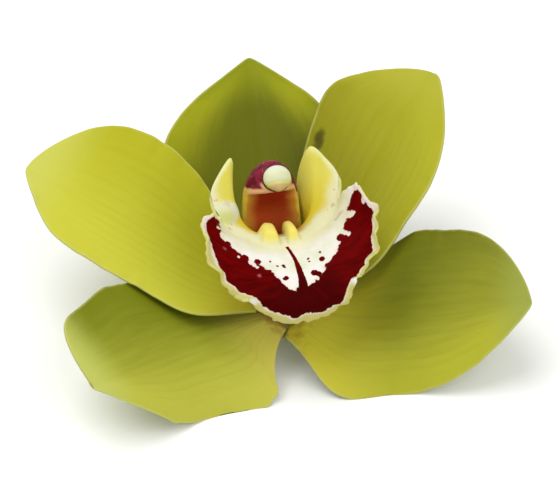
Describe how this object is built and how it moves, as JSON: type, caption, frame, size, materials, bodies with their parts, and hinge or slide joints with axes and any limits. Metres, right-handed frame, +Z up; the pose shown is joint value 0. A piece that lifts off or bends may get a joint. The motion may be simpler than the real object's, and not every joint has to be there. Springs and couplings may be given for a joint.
{
  "type": "cymbidium orchid bloom",
  "caption": "Open cymbidium orchid bloom with broad yellow-green sepals and petals, a frilled lobed lip, an arched column and a short cut stalk, lying face up.",
  "frame": {"origin": "the table, below the middle of the bloom's bounding box", "axes": "+Z up, out of the bloom's face; +Y towards the dorsal sepal; +X towards the petal on the right of the picture"},
  "size_m": [0.108, 0.0925, 0.0432],
  "materials": {
    "tepal_green": "waxy yellow-green petal tissue with pale margins",
    "lip_cream": "satin cream lip with a maroon band",
    "column_red": "satin red and yellow column with a crimson hood",
    "cap_cream": "satin cream",
    "pollen_yellow": "waxy yellow",
    "stalk_green": "matte green"
  },
  "bodies": {
    "root": {"dorsal_sepal": "tepal_green", "petal_left": "tepal_green", "petal_right": "tepal_green", "lateral_sepal_left": "tepal_green", "lateral_sepal_right": "tepal_green", "lip": "lip_cream", "column": "column_red", "anther_cap": "cap_cream", "pollinarium": "pollen_yellow", "stalk": "stalk_green"}
  },
  "joints": []
}
